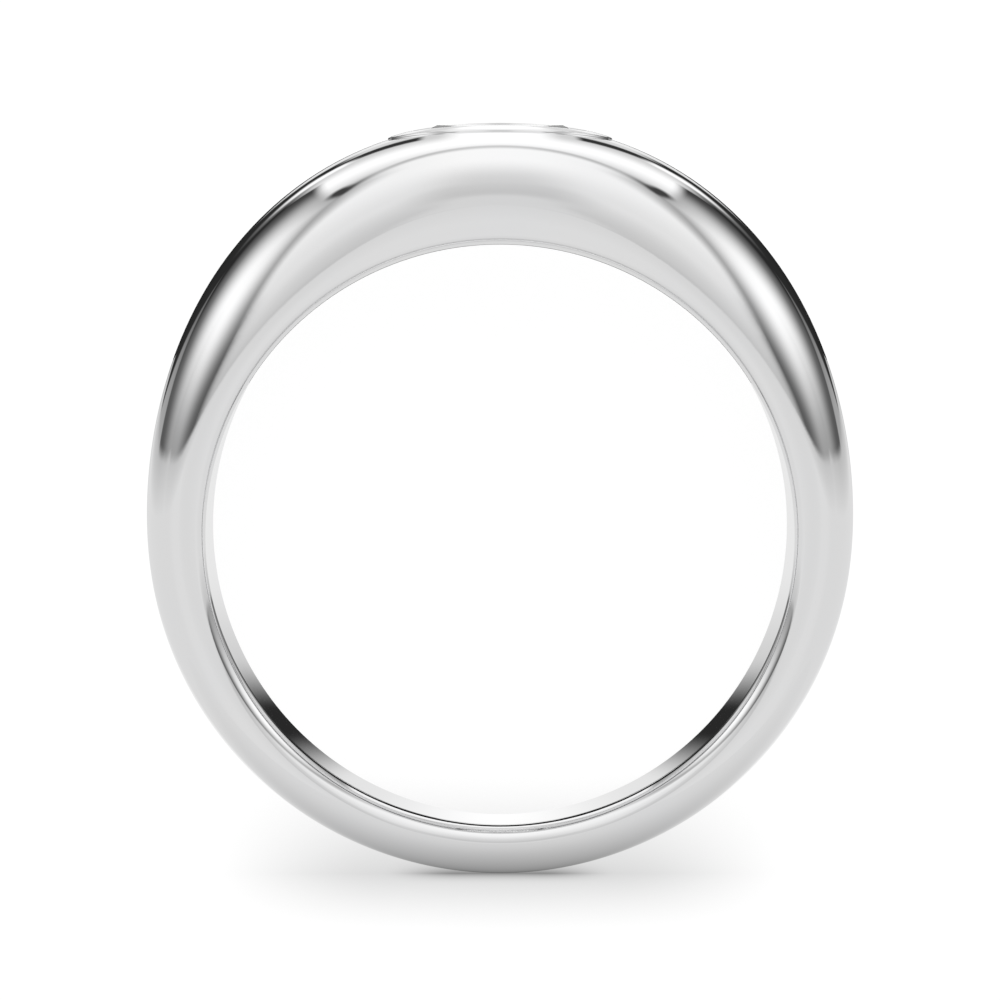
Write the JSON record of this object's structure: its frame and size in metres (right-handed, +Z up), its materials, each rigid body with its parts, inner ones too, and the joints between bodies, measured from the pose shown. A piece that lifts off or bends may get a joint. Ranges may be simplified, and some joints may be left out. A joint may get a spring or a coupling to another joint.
{
  "type": "oval bezel set ring",
  "caption": "Tapered domed finger ring with a low raised oval bezel holding a faceted colourless stone across its head.",
  "frame": {"origin": "on the ground, under the middle of the ring's bounding box, with the ring lying on one side face", "axes": "+Z up, +Y towards the head with the stone, -Y towards the foot of the band, +X across"},
  "size_m": [0.021, 0.0224, 0.0083],
  "materials": {
    "white_metal": "mirror polish",
    "clear_stone": "faceted, polished"
  },
  "bodies": {
    "root": {"ring_body": "white_metal", "center_stone": "clear_stone"}
  },
  "joints": []
}
